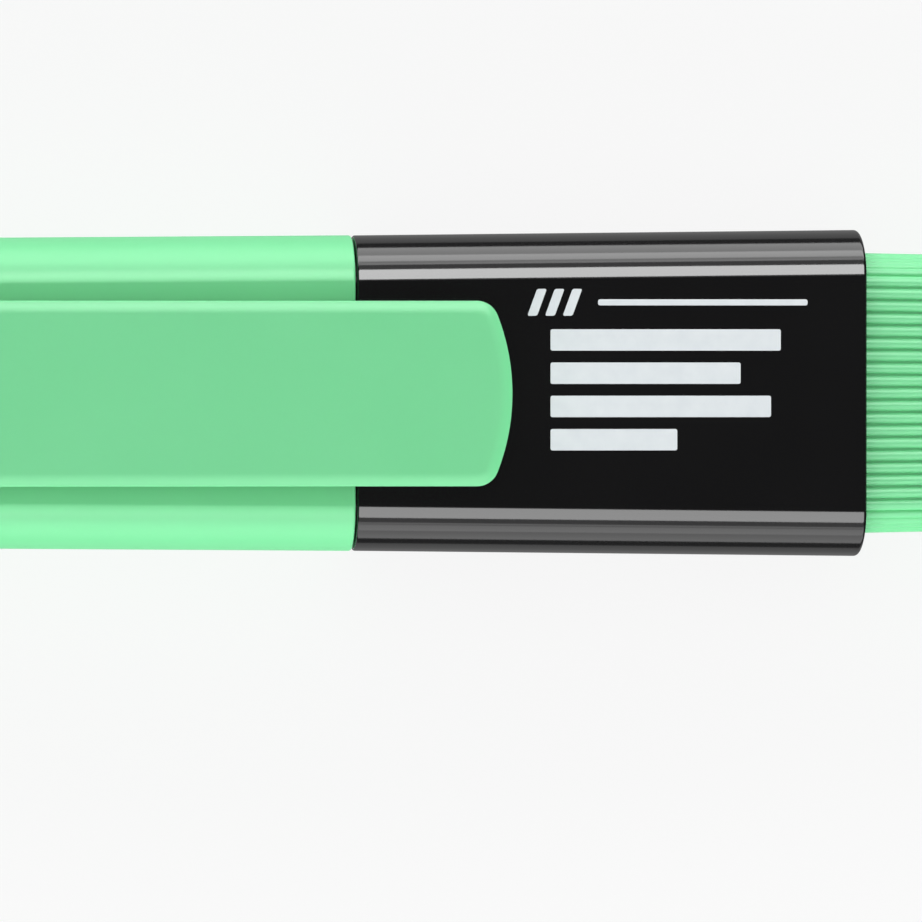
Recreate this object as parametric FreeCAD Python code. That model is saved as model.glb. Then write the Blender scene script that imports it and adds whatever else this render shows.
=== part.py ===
"""Flat-oval highlighter with a pull-off cap, a wide clip and a ribbed rear plug.

The pen lies on its flat with the clip up: X runs along the pen from the cap's closed end to the
rear plug's end, Z is up, and the origin is the centre of the footprint on the resting face.
Every cross-section is an oval with a flat top, a flat bottom and elliptical sides.
"""
import FreeCAD, Part
import math
import os
from collections import namedtuple

Vector = FreeCAD.Vector
Section = namedtuple("Section", "width thickness side")

# ---------------------------------------------------------------- driving dimensions, millimetres
# Whole pen
RIM_WIDTH = 26.05           # width at the shut line, where cap and barrel meet
THICKNESS = 17.0            # over the two flats
SIDE_DEPTH = 4.0            # sideways depth of an elliptical side
CAP_LENGTH = 44.5           # rim to closed end
BARREL_LENGTH = 41.8
PLUG_LENGTH = 30.6          # what shows of the rear plug behind the barrel
SHUT_GAP = 0.15             # between the cap's rim and the barrel's front edge
CAP_TAPER = 0.65            # width lost from the rim to the closed end
BARREL_TAPER = 0.95         # width gained from the front edge to the mouth

# Fits
FIT = 0.03                  # each side, pieces that stay assembled
SEAL_FIT = 0.05             # radial, sealing collar in the inner cap
CAP_CLEARANCE = 0.15        # each side, cap bore over the neck
STOP_GAP = 0.3              # lengthwise, before a face that stops a piece

# Cap shell
CAP_WALL = 1.5
CAP_END_WALL = 1.8
CAP_END_ROUND = 1.6
RIM_ROUND = 0.2
RING_WALL = 1.2             # ring on the end wall that holds the inner cap
RING_LENGTH = 8.0
STOP_RIB_WIDTH = 0.8
STOP_RIB_HEIGHT = 2.0
STOP_RIB_INSET = 2.1        # from the neck's side to the rib's middle
VENT_WIDTH = 1.6
VENT_HEIGHT = 5.0
VENT_MARGIN = 0.8           # from the ring's outside to the vent

# Inner cap
INNER_CAP_GAP = 0.2         # under each flat of the cap bore
INNER_CAP_WALL = 0.75
INNER_CAP_WEB = 1.0
NIB_SPACE = 2.5             # free length in front of the nib

# Clip
CLIP_WIDTH = 15.1
CLIP_THICKNESS = 1.9
CLIP_GAP = 1.2              # between the cap's flat and the blade
CLIP_OVERHANG = 12.5        # past the shut line, over the barrel
CLIP_TIP_RADIUS = 17.5      # end arc in plan
CLIP_CORNER_RADIUS = 1.8    # where the end arc meets the long edges
CLIP_EDGE_ROUND = 1.2
CLIP_ROOT_LENGTH = 7.0
CLIP_ROOT_ROUND = 1.6
GRIP_BEAD_RADIUS = 1.6
GRIP_BEAD_LENGTH = 10.5
GRIP_BEAD_SETBACK = 3.2     # from the clip's tip
GRIP_BEAD_CLEARANCE = 0.3   # above the barrel's flat

# Snap beads, on the flats only
SNAP_RADIUS = 0.8
SNAP_HEIGHT = 0.12
SNAP_WIDTH = 8.0
SNAP_SIDE_ROOM = 0.3
SNAP_SETBACK = 3.5          # from the shut line, or from the barrel's mouth

# Barrel
BARREL_FRONT_ROUND = 0.2
BARREL_REAR_ROUND = 0.3
BORE_STEP = 0.25            # each side, from one bore to the next larger one
FRONT_SEAT = 6.0            # front bore's length
PLUG_SEAT = 8.0             # rear bore's length

# Front section: neck, flange, shoulder, sealing collar and nib holder
NECK_LENGTH = 10.0          # in front of the barrel
NECK_ROUND = 0.4
NECK_WALL = 2.0
FLANGE_LENGTH = 1.5
SHOULDER_LENGTH = 5.0
SHOULDER_INSET = 1.6        # from the neck's sides
SHOULDER_STEP = 0.3         # from the shoulder's end down to the collar
COLLAR_LENGTH = 3.0
COLLAR_STEP = 0.5           # from the collar down to the nib holder
HOLDER_LENGTH = 6.0
HOLDER_WALL = 1.6
CAVITY_DEPTH = 6.0          # reservoir cavity, in front of the shut line
AIR_GROOVE_RADIUS = 0.45

# Nib
NIB_WIDTH = 5.2
NIB_THICKNESS = 3.6
NIB_SIDE = 0.9
NIB_REACH = 7.5             # in front of the holder
NIB_FEED = 5.0              # into the reservoir
NIB_SLANT = 35.0            # degrees, of the writing edge
NIB_BEVEL = 0.5

# Ink reservoir
RESERVOIR_CLEARANCE = 0.3   # each side, in the front cavity
RESERVOIR_SIDE = 2.9
RESERVOIR_END_SPACE = 14.4  # from its rear end to the plug's end
FILM_WALL = 0.2
FILM_FIT = 0.02

# Rear plug
RIB_COUNT = 64
RIB_HEIGHT = 0.22
MOUTH_GAP = 0.28            # each side, between the rib crests and the barrel's mouth
MOUTH_DEPTH = 0.8           # where the ribs start, inside the mouth
PLUG_SIDE = 2.85
PLUG_TAPER = 1.2
PLUG_WALL = 1.5
PLUG_END_WALL = 1.8
PLUG_DOME = 2.2             # smooth end behind the ribs
PLUG_DOME_ROUND = 1.1
FIN_SETBACK = 2.0           # from the spigot's front face to the fins
FIN_WIDTH = 1.0
FIN_SPACING = 10.0
FIN_FIT = 0.05
FIN_LEDGE = 1.5

# ------------------------------------------------------------------ places along X that are shared
TOTAL_LENGTH = CAP_LENGTH + SHUT_GAP + BARREL_LENGTH + PLUG_LENGTH
AXIS_Z = THICKNESS / 2
TOP_Z = THICKNESS
CAP_END_X = -TOTAL_LENGTH / 2
RIM_X = CAP_END_X + CAP_LENGTH
BARREL_FRONT_X = RIM_X + SHUT_GAP
BARREL_REAR_X = BARREL_FRONT_X + BARREL_LENGTH
PLUG_END_X = BARREL_REAR_X + PLUG_LENGTH
FRONT_STEP_X = BARREL_FRONT_X + FRONT_SEAT
REAR_STEP_X = BARREL_REAR_X - PLUG_SEAT
NECK_FRONT_X = BARREL_FRONT_X - NECK_LENGTH
SHOULDER_FRONT_X = NECK_FRONT_X - SHOULDER_LENGTH
COLLAR_FRONT_X = SHOULDER_FRONT_X - COLLAR_LENGTH
HOLDER_FRONT_X = COLLAR_FRONT_X - HOLDER_LENGTH
NIB_TIP_X = HOLDER_FRONT_X - NIB_REACH
CAVITY_FRONT_X = BARREL_FRONT_X - CAVITY_DEPTH
RESERVOIR_FRONT_X = CAVITY_FRONT_X + STOP_GAP
RESERVOIR_REAR_X = PLUG_END_X - RESERVOIR_END_SPACE
NIB_REAR_X = RESERVOIR_FRONT_X + NIB_FEED
CAP_FLOOR_X = CAP_END_X + CAP_END_WALL
CAP_SNAP_X = BARREL_FRONT_X - SNAP_SETBACK
PLUG_SNAP_X = BARREL_REAR_X - SNAP_SETBACK
INNER_CAP_MOUTH_X = SHOULDER_FRONT_X - STOP_GAP
WEB_FRONT_X = NIB_TIP_X - NIB_SPACE
CLIP_TIP_X = BARREL_FRONT_X + CLIP_OVERHANG
CLIP_REAR_X = CAP_END_X + CAP_END_ROUND
CLIP_FLEX_X = CLIP_REAR_X + CLIP_ROOT_LENGTH
CLIP_UNDER_Z = TOP_Z + CLIP_GAP
CLIP_TOP_Z = CLIP_UNDER_Z + CLIP_THICKNESS


def grown(section, amount):
    """The section with its whole outline moved outwards by the amount, or inwards if negative."""
    return Section(section.width + 2 * amount, section.thickness + 2 * amount, section.side + amount)


def between(first, last, share):
    """The section that lies the given share of the way from the first to the last."""
    return Section(*(a + (b - a) * share for a, b in zip(first, last)))


# ---------------------------------------------------------------------- sections that fit together
RIM = Section(RIM_WIDTH, THICKNESS, SIDE_DEPTH)
CAP_END = Section(RIM_WIDTH - CAP_TAPER, THICKNESS, SIDE_DEPTH)
BARREL_REAR = Section(RIM_WIDTH + BARREL_TAPER, THICKNESS, SIDE_DEPTH)
CAP_BORE = grown(RIM, -CAP_WALL)
CAP_BORE_END = grown(CAP_END, -CAP_WALL)
NECK = grown(CAP_BORE, -CAP_CLEARANCE)
FRONT_BORE = grown(NECK, FIT)
MAIN_BORE = grown(FRONT_BORE, BORE_STEP)
REAR_BORE = grown(MAIN_BORE, BORE_STEP)
FLANGE = grown(MAIN_BORE, -FIT)
SPIGOT = grown(REAR_BORE, -FIT)
RIB_FRONT = grown(REAR_BORE, -MOUTH_GAP)._replace(side=PLUG_SIDE)
RIB_REAR = Section(RIB_FRONT.width - PLUG_TAPER, RIB_FRONT.thickness - PLUG_TAPER, PLUG_SIDE)
CAVITY = grown(NECK, -NECK_WALL)._replace(side=RESERVOIR_SIDE + RESERVOIR_CLEARANCE)
FILM = grown(CAVITY, -RESERVOIR_CLEARANCE)
NIB = Section(NIB_WIDTH, NIB_THICKNESS, NIB_SIDE)

INNER_CAP_RADIUS = CAP_BORE.thickness / 2 - INNER_CAP_GAP
INNER_CAP_BORE_RADIUS = INNER_CAP_RADIUS - INNER_CAP_WALL
COLLAR_RADIUS = INNER_CAP_BORE_RADIUS - SEAL_FIT
SHOULDER_RADIUS = COLLAR_RADIUS + SHOULDER_STEP


# ------------------------------------------------------------------------------------ basic shapes
def at(x, y, z):
    """A point given by its place along the pen, across it, and above the pen's axis."""
    return Vector(x, y, AXIS_Z + z)


def half_ellipse(x, centre_y, side, half_height, outward):
    """The side of an oval: a half ellipse that bulges to +Y (outward 1) or to -Y (outward -1)."""
    start = at(x, centre_y, outward * half_height)
    bulge = at(x, centre_y + outward * side, 0)
    end = at(x, centre_y, -outward * half_height)
    ellipse = Part.Ellipse(start, bulge, at(x, centre_y, 0))
    return Part.Arc(ellipse, ellipse.parameter(start), ellipse.parameter(end)).toShape()


def oval_edges(x, section):
    """The oval's four edges: top, +Y side, bottom and -Y side."""
    flat = section.width / 2 - section.side
    high = section.thickness / 2
    top = Part.makeLine(at(x, -flat, high), at(x, flat, high))
    bottom = Part.makeLine(at(x, flat, -high), at(x, -flat, -high))
    right = half_ellipse(x, flat, section.side, high, 1)
    left = half_ellipse(x, -flat, section.side, high, -1)
    return [top, right, bottom, left]


def oval_wire(x, section):
    """The oval's outline as one closed wire."""
    return Part.Wire(oval_edges(x, section))


def circle_wire(x, radius):
    """A circle in four arcs that answer an oval's four edges."""
    reach = radius * math.sqrt(0.5)
    corners = [(-reach, reach), (reach, reach), (reach, -reach), (-reach, -reach)]
    middles = [(0, radius), (radius, 0), (0, -radius), (-radius, 0)]
    arcs = []
    for index, (mid_y, mid_z) in enumerate(middles):
        start = corners[index]
        end = corners[(index + 1) % 4]
        arcs.append(Part.Arc(at(x, *start), at(x, mid_y, mid_z), at(x, *end)).toShape())
    return Part.Wire(arcs)


def loft(*wires):
    """A solid that runs straight from each wire to the next."""
    return Part.makeLoft(list(wires), True, True)


def side_face(near, far):
    """The face between two answering edges of an oval: a true plane between straight ones."""
    if not isinstance(near.Curve, Part.Line):
        return Part.makeRuledSurface(near, far)
    corners = [near.firstVertex(True).Point, near.lastVertex(True).Point]
    corners += [far.lastVertex(True).Point, far.firstVertex(True).Point]
    return Part.Face(Part.makePolygon(corners + corners[:1]))


def taper(x_first, first, x_last, last):
    """A solid that goes evenly from one oval to another."""
    faces = [side_face(*pair) for pair in zip(oval_edges(x_first, first), oval_edges(x_last, last))]
    faces.append(Part.Face(oval_wire(x_first, first)))
    faces.append(Part.Face(oval_wire(x_last, last)))
    skin = Part.makeShell(faces)
    skin.sewShape()
    return Part.makeSolid(skin).removeSplitter()


def prism(x_first, x_last, section):
    """A straight solid of one oval section."""
    return Part.Face(oval_wire(x_first, section)).extrude(Vector(x_last - x_first, 0, 0))


def turned(x_first, x_last, radius, y=0, z=0):
    """A round bar along the pen."""
    return Part.makeCylinder(radius, x_last - x_first, at(x_first, y, z), Vector(1, 0, 0))


def cone(x_first, radius_first, x_last, radius_last):
    """A round taper along the pen's axis."""
    height = x_last - x_first
    return Part.makeCone(radius_first, radius_last, height, at(x_first, 0, 0), Vector(1, 0, 0))


def block(x_first, x_last, width, height, y=0, z=0):
    """A box along the pen, centred on (y, z) of the pen's axis."""
    corner = at(x_first, y - width / 2, z - height / 2)
    return Part.makeBox(x_last - x_first, width, height, corner)


def edges_at(solid, x):
    """The edges that lie wholly in the plane at x."""
    slack = 1e-4
    return [e for e in solid.Edges if max(abs(e.BoundBox.XMin - x), abs(e.BoundBox.XMax - x)) < slack]


def joined(first, *others):
    """One solid from several that overlap or touch."""
    return first.multiFuse(list(others)).removeSplitter()


def snap_bars(x, top_z, length):
    """Two rounded bars across the flats, whose crests stand at top_z above and below the axis."""
    bars = []
    for up in (1, -1):
        start = at(x, -length / 2, up * (top_z - SNAP_RADIUS))
        bars.append(Part.makeCylinder(SNAP_RADIUS, length, start, Vector(0, 1, 0)))
    return bars


# ------------------------------------------------------------------------------------------ pieces
def barrel():
    """Outer sleeve with a bore in three steps, widest at the rear mouth."""
    outside = taper(BARREL_FRONT_X, RIM, BARREL_REAR_X, BARREL_REAR)
    outside = outside.makeFillet(BARREL_FRONT_ROUND, edges_at(outside, BARREL_FRONT_X))
    outside = outside.makeFillet(BARREL_REAR_ROUND, edges_at(outside, BARREL_REAR_X))
    bores = [
        prism(BARREL_FRONT_X - SHUT_GAP, FRONT_STEP_X + SHUT_GAP, FRONT_BORE),
        prism(FRONT_STEP_X, REAR_STEP_X + SHUT_GAP, MAIN_BORE),
        prism(REAR_STEP_X, BARREL_REAR_X + SHUT_GAP, REAR_BORE),
    ]
    groove_top = REAR_BORE.thickness / 2 + SNAP_HEIGHT
    grooves = snap_bars(PLUG_SNAP_X, groove_top, SNAP_WIDTH + 2 * SNAP_SIDE_ROOM)
    return outside.cut(bores + grooves)


def front_section():
    """Neck that the cap closes on, with its rear flange, sealing collar and nib holder."""
    neck = prism(NECK_FRONT_X, FRONT_STEP_X, NECK)
    neck = neck.makeFillet(NECK_ROUND, edges_at(neck, NECK_FRONT_X))
    flange = prism(FRONT_STEP_X, FRONT_STEP_X + FLANGE_LENGTH, FLANGE)
    shoulder_root = Section(NECK.width - 2 * SHOULDER_INSET, 2 * SHOULDER_RADIUS, SIDE_DEPTH)
    shoulder = loft(circle_wire(SHOULDER_FRONT_X, SHOULDER_RADIUS), oval_wire(NECK_FRONT_X, shoulder_root))
    collar = turned(COLLAR_FRONT_X, SHOULDER_FRONT_X, COLLAR_RADIUS)
    holder_tip = NIB_WIDTH / 2 + HOLDER_WALL
    holder = cone(HOLDER_FRONT_X, holder_tip, COLLAR_FRONT_X, COLLAR_RADIUS - COLLAR_STEP)
    holder = holder.makeFillet(NECK_ROUND, edges_at(holder, HOLDER_FRONT_X))
    snaps = snap_bars(CAP_SNAP_X, NECK.thickness / 2 + SNAP_HEIGHT, SNAP_WIDTH)
    solid = joined(neck, flange, shoulder, collar, holder, *snaps)
    cavity = prism(CAVITY_FRONT_X, FRONT_STEP_X + FLANGE_LENGTH, CAVITY)
    slot = prism(HOLDER_FRONT_X, CAVITY_FRONT_X, grown(NIB, FIT))
    grooves = [
        turned(HOLDER_FRONT_X, CAVITY_FRONT_X, AIR_GROOVE_RADIUS, y=side * NIB_WIDTH / 2)
        for side in (1, -1)
    ]
    return solid.cut([cavity, slot] + grooves)


def nib():
    """Felt chisel nib with a slanted, bevelled writing edge and a shank that feeds it."""
    bar = prism(NIB_TIP_X, NIB_REAR_X, NIB)
    high = NIB.thickness / 2
    length = 2 * (NIB_REAR_X - NIB_TIP_X)
    profile = [
        (0, high - NIB_BEVEL),
        (NIB_BEVEL, high),
        (length, high),
        (length, -high),
        (NIB_BEVEL, -high),
        (0, NIB_BEVEL - high),
    ]
    points = [at(NIB_TIP_X + x, -length, z) for x, z in profile]
    wedge = Part.Face(Part.makePolygon(points + points[:1])).extrude(Vector(0, 2 * length, 0))
    pivot = at(NIB_TIP_X, -NIB.width / 2, 0)
    wedge.rotate(pivot, Vector(0, 0, 1), -NIB_SLANT)
    return bar.common(wedge)


def reservoir_film():
    """Thin sleeve round the fibre rod, open at both ends."""
    bore = grown(FILM, -FILM_WALL)
    outside = prism(RESERVOIR_FRONT_X, RESERVOIR_REAR_X, FILM)
    return outside.cut(prism(RESERVOIR_FRONT_X - STOP_GAP, RESERVOIR_REAR_X + STOP_GAP, bore))


def reservoir_core():
    """Fibre rod that holds the ink, with the pocket that the nib's shank presses into it."""
    rod = prism(RESERVOIR_FRONT_X, RESERVOIR_REAR_X, grown(FILM, -FILM_WALL - FILM_FIT))
    return rod.cut(prism(RESERVOIR_FRONT_X - STOP_GAP, NIB_REAR_X, NIB))


def rib_wire(x, section):
    """Outline of the ribbed oval: convex ribs of equal pitch, one of them centred on each flat."""
    _, right, bottom, left = oval_edges(x, section)
    high = section.thickness / 2
    flat = section.width / 2 - section.side
    half_right = Part.makeLine(at(x, 0, high), at(x, flat, high))
    half_left = Part.makeLine(at(x, -flat, high), at(x, 0, high))
    outline = Part.Wire([half_right, right, bottom, left, half_left])
    points = outline.discretize(Number=2 * RIB_COUNT + 1)[:-1]
    crests = points[0::2]
    arcs = []
    roots = []
    for index, point in enumerate(points[1::2]):
        along = crests[(index + 1) % RIB_COUNT] - crests[index]
        inward = Vector(1, 0, 0).cross(along)
        if inward.dot(at(x, 0, 0) - point) < 0:
            inward = -inward
        roots.append(point + inward.normalize() * RIB_HEIGHT)
    for index, crest in enumerate(crests):
        arcs.append(Part.Arc(roots[index - 1], crest, roots[index]).toShape())
    return Part.Wire(arcs)


def rear_plug():
    """Hollow end plug: plain spigot in the barrel's mouth, ribs outside, smooth rounded end."""
    rib_start = BARREL_REAR_X - MOUTH_DEPTH
    rib_end = PLUG_END_X - PLUG_DOME
    dome_root = between(RIB_FRONT, RIB_REAR, (rib_end - rib_start) / (PLUG_END_X - rib_start))
    spigot = prism(REAR_STEP_X, rib_start, SPIGOT)
    ribs = loft(rib_wire(rib_start, RIB_FRONT), rib_wire(rib_end, dome_root))
    dome = taper(rib_end, dome_root, PLUG_END_X, RIB_REAR)
    dome = dome.makeFillet(PLUG_DOME_ROUND, edges_at(dome, PLUG_END_X))
    snaps = snap_bars(PLUG_SNAP_X, SPIGOT.thickness / 2 + SNAP_HEIGHT, SNAP_WIDTH)
    solid = spigot.multiFuse([ribs, dome] + snaps)
    floor = PLUG_END_X - PLUG_END_WALL
    bore_end = grown(RIB_REAR, -RIB_HEIGHT - PLUG_WALL)
    hollow = taper(REAR_STEP_X, grown(SPIGOT, -PLUG_WALL), floor, bore_end)
    return solid.cut(hollow.cut(plug_fins(floor)))


def plug_fins(floor):
    """Fins inside the plug that centre the reservoir, with a ledge that stops it."""
    start = REAR_STEP_X + FIN_SETBACK
    tall = THICKNESS
    fins = [block(start, floor, FIN_WIDTH, tall, y=side * FIN_SPACING / 2) for side in (1, -1)]
    fins.append(block(start, floor, RIM_WIDTH, FIN_WIDTH))
    cross = fins[0].multiFuse(fins[1:])
    seat = prism(start - STOP_GAP, RESERVOIR_REAR_X, grown(FILM, FIN_FIT))
    way = prism(start - STOP_GAP, floor + STOP_GAP, grown(FILM, -FIN_LEDGE))
    return cross.cut([seat, way])


def cap_shell():
    """Cap with a ring for the inner cap, stop ribs for the neck, and two vents in its end."""
    outside = taper(CAP_END_X, CAP_END, RIM_X, RIM)
    outside = outside.makeFillet(CAP_END_ROUND, edges_at(outside, CAP_END_X))
    outside = outside.makeFillet(RIM_ROUND, edges_at(outside, RIM_X))
    bore = taper(CAP_FLOOR_X, CAP_BORE_END, RIM_X + SHUT_GAP, CAP_BORE)
    ring_hole = INNER_CAP_RADIUS + FIT
    ring_radius = ring_hole + RING_WALL
    ring = turned(CAP_FLOOR_X, CAP_FLOOR_X + RING_LENGTH, ring_radius)
    ring = ring.cut(turned(CAP_FLOOR_X, CAP_FLOOR_X + RING_LENGTH, ring_hole))
    bore = bore.cut([ring] + stop_ribs())
    vent_y = ring_radius + VENT_MARGIN + VENT_WIDTH / 2
    vents = [vent(side * vent_y) for side in (1, -1)]
    groove_top = CAP_BORE.thickness / 2 + SNAP_HEIGHT
    grooves = snap_bars(CAP_SNAP_X, groove_top, SNAP_WIDTH + 2 * SNAP_SIDE_ROOM)
    return outside.cut([bore] + vents + grooves)


def stop_ribs():
    """Four lengthwise ribs under the flats, whose front ends stop the neck."""
    front = NECK_FRONT_X - STOP_GAP
    y = NECK.width / 2 - STOP_RIB_INSET
    z = (CAP_BORE.thickness - STOP_RIB_HEIGHT) / 2
    places = [(side * y, up * z) for side in (1, -1) for up in (1, -1)]
    return [block(CAP_FLOOR_X, front, STOP_RIB_WIDTH, STOP_RIB_HEIGHT, *place) for place in places]


def vent(y):
    """An upright oblong hole through the cap's end wall."""
    start = CAP_END_X - STOP_GAP
    end = CAP_FLOOR_X + STOP_GAP
    straight = VENT_HEIGHT - VENT_WIDTH
    slot = block(start, end, VENT_WIDTH, straight, y=y)
    ends = [turned(start, end, VENT_WIDTH / 2, y=y, z=up * straight / 2) for up in (1, -1)]
    return slot.multiFuse(ends)


def inner_cap():
    """Thin sealing thimble round the nib, closed by a web in front of it."""
    rear = CAP_FLOOR_X + FIT
    outside = turned(rear, INNER_CAP_MOUTH_X, INNER_CAP_RADIUS)
    chamber = turned(WEB_FRONT_X, INNER_CAP_MOUTH_X, INNER_CAP_BORE_RADIUS)
    lead_in = INNER_CAP_BORE_RADIUS + INNER_CAP_WALL / 2
    mouth = cone(INNER_CAP_MOUTH_X - INNER_CAP_WALL, INNER_CAP_BORE_RADIUS, INNER_CAP_MOUTH_X, lead_in)
    back = turned(rear, WEB_FRONT_X - INNER_CAP_WEB, INNER_CAP_BORE_RADIUS)
    return outside.cut([chamber, mouth, back])


def clip_outline(x_rear):
    """The clip's outline in plan, at the height of its underside, from x_rear to the rounded tip."""
    half = CLIP_WIDTH / 2
    arc_centre = CLIP_TIP_X - CLIP_TIP_RADIUS
    corner_y = half - CLIP_CORNER_RADIUS
    corner_reach = CLIP_TIP_RADIUS - CLIP_CORNER_RADIUS
    corner_x = arc_centre + math.sqrt(corner_reach ** 2 - corner_y ** 2)
    lean = math.atan2(corner_y, corner_x - arc_centre)

    def point(x, y):
        return Vector(x, y, CLIP_UNDER_Z)

    def corner(angle, side):
        x = corner_x + CLIP_CORNER_RADIUS * math.cos(angle)
        return point(x, side * (corner_y + CLIP_CORNER_RADIUS * math.sin(angle)))

    middle = (lean + math.pi / 2) / 2
    edges = [
        Part.makeLine(point(x_rear, half), point(corner_x, half)),
        Part.Arc(point(corner_x, half), corner(middle, 1), corner(lean, 1)).toShape(),
        Part.Arc(corner(lean, 1), point(CLIP_TIP_X, 0), corner(lean, -1)).toShape(),
        Part.Arc(corner(lean, -1), corner(middle, -1), point(corner_x, -half)).toShape(),
        Part.makeLine(point(corner_x, -half), point(x_rear, -half)),
        Part.makeLine(point(x_rear, -half), point(x_rear, half)),
    ]
    return Part.Wire(edges)


def clip_blade():
    """Springy blade of the clip, from its flex line to the tip, with a grip bead under the tip."""
    plate = Part.Face(clip_outline(CLIP_FLEX_X)).extrude(Vector(0, 0, CLIP_THICKNESS))
    rims = [
        e for e in plate.Edges
        if e.BoundBox.ZMin > CLIP_TOP_Z - FIT and e.BoundBox.XMax > CLIP_FLEX_X + FIT
    ]
    plate = plate.makeFillet(CLIP_EDGE_ROUND, rims)
    bead_z = TOP_Z + GRIP_BEAD_CLEARANCE + GRIP_BEAD_RADIUS
    start = Vector(CLIP_TIP_X - GRIP_BEAD_SETBACK, -GRIP_BEAD_LENGTH / 2, bead_z)
    bead = Part.makeCylinder(GRIP_BEAD_RADIUS, GRIP_BEAD_LENGTH, start, Vector(0, 1, 0))
    under = block(CLIP_FLEX_X, CLIP_TIP_X, CLIP_WIDTH, CLIP_GAP, z=AXIS_Z + CLIP_GAP / 2)
    return joined(plate, bead.common(under))


def clip_root():
    """Solid foot of the clip on the cap's flat, behind the flex line."""
    height = CLIP_GAP + CLIP_THICKNESS
    foot = block(CLIP_REAR_X, CLIP_FLEX_X, CLIP_WIDTH, height, z=AXIS_Z + height / 2)
    rear = [e for e in edges_at(foot, CLIP_REAR_X) if e.BoundBox.ZMin > CLIP_TOP_Z - FIT]
    foot = foot.makeFillet(CLIP_ROOT_ROUND, rear)
    rims = [
        e for e in foot.Edges
        if e.BoundBox.ZMax > CLIP_TOP_Z - FIT and e.BoundBox.XLength > FIT
    ]
    return foot.makeFillet(CLIP_EDGE_ROUND, rims)


PIECES = [
    barrel,
    front_section,
    nib,
    reservoir_film,
    reservoir_core,
    rear_plug,
    cap_shell,
    inner_cap,
    clip_root,
    clip_blade,
]


def main():
    """Write every piece as its own STEP file."""
    os.makedirs("parts", exist_ok=True)
    for piece in PIECES:
        solid = piece()
        solid.exportStep(f"parts/{piece.__name__}.step")
        size = solid.optimalBoundingBox(True, False)
        print(f"{piece.__name__}: {size.XLength:.2f} x {size.YLength:.2f} x {size.ZLength:.2f} mm,"
              f" {solid.Volume:.0f} mm3, {len(solid.Solids)} solid, valid {solid.isValid()}")


main()
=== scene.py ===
"""Looks of a flat-oval highlighter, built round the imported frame.

Every piece is in metres, in the frame's own axes: X along the pen from the cap's closed end to the
rear plug's end, Z up, the pen lying on its flat with the clip up.
"""

import logging
import math
from contextlib import contextmanager
from dataclasses import dataclass, field, replace
from enum import Enum
from typing import Callable, Iterator, Optional, Sequence

import bmesh
import bpy
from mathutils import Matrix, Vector


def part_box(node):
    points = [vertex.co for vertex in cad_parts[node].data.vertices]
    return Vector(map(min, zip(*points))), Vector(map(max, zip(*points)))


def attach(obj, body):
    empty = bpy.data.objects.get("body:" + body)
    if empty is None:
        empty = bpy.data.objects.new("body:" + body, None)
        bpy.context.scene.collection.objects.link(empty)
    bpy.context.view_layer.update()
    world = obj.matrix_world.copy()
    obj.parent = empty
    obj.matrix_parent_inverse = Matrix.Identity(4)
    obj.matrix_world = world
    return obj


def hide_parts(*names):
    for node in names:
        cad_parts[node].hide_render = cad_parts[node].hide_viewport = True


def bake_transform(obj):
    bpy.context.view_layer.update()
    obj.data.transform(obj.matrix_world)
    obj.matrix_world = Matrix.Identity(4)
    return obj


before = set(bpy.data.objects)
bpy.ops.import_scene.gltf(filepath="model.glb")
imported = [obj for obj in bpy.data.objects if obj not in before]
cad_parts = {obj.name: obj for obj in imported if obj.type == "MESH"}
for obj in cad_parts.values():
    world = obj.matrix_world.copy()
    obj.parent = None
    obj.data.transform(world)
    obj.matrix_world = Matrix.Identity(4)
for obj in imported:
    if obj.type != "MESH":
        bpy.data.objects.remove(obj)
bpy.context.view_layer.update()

LOG = logging.getLogger("highlighter")
MM = 0.001
RING_POINTS = 130           # four times a whole number plus two: no point falls on the mid-line
ROUND_STEPS = 6             # rings in a rounded edge
SMOOTH_ANGLE = math.radians(32)
MERGE_GAP = 0.001 * MM      # points nearer than this are one point
SQUARE_ON = 0.99            # cosine above which a face looks straight along a direction
BAR_POINTS = 48             # points round a bar
BAR_EDGE_STEPS = 3          # strips across a bar's softened edge
BLOCK_EDGE_STEPS = 2        # strips across a block's softened edge


# ------------------------------------------------------------------------------------- basic tools
class Axis(Enum):
    """The direction that a bar or a cut faces."""

    X = (1, 0, 0)
    Y = (0, 1, 0)
    Z = (0, 0, 1)


class Combine(Enum):
    """How one solid acts on another."""

    JOIN = "UNION"
    CUT = "DIFFERENCE"


def focus(obj: bpy.types.Object) -> None:
    """Make this object the only selected one, and the active one.

    Args:
        obj: the object to work on.
    """
    bpy.ops.object.select_all(action="DESELECT")
    obj.select_set(True)
    bpy.context.view_layer.objects.active = obj


@contextmanager
def editing(obj: bpy.types.Object) -> Iterator[bpy.types.Object]:
    """Hold the object in edit mode for the length of a with block.

    Args:
        obj: the mesh object to edit.

    Yields:
        The same object.
    """
    focus(obj)
    bpy.ops.object.mode_set(mode="EDIT")
    yield obj
    bpy.ops.object.mode_set(mode="OBJECT")


def add_primitive(name: str, operator: Callable[..., object], **options: object) -> bpy.types.Object:
    """Add one of Blender's plain shapes and apply its placing.

    Args:
        name: the object's name.
        operator: the operator that adds the shape.
        options: what the operator is given.

    Returns:
        The shape.
    """
    bpy.ops.object.select_all(action="DESELECT")
    operator(**options)
    made = bpy.context.object
    made.name = name
    bpy.ops.object.transform_apply(location=True, rotation=True, scale=True)
    return made


def pick(obj: bpy.types.Object, kind: str, test: Callable[[object], bool]) -> list[int]:
    """Select the verts or faces that pass a test, and nothing else.

    Args:
        obj: the object in edit mode.
        kind: "verts" or "faces".
        test: says whether an element is wanted.

    Returns:
        The indices of the selected elements.
    """
    bpy.ops.mesh.select_all(action="DESELECT")
    mesh = bmesh.from_edit_mesh(obj.data)
    elements = getattr(mesh, kind)
    elements.index_update()
    chosen = []
    for element in elements:
        if test(element):
            element.select_set(True)
            chosen.append(element.index)
    if kind == "verts":
        mesh.select_flush(True)
    bmesh.update_edit_mesh(obj.data)
    return chosen


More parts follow.
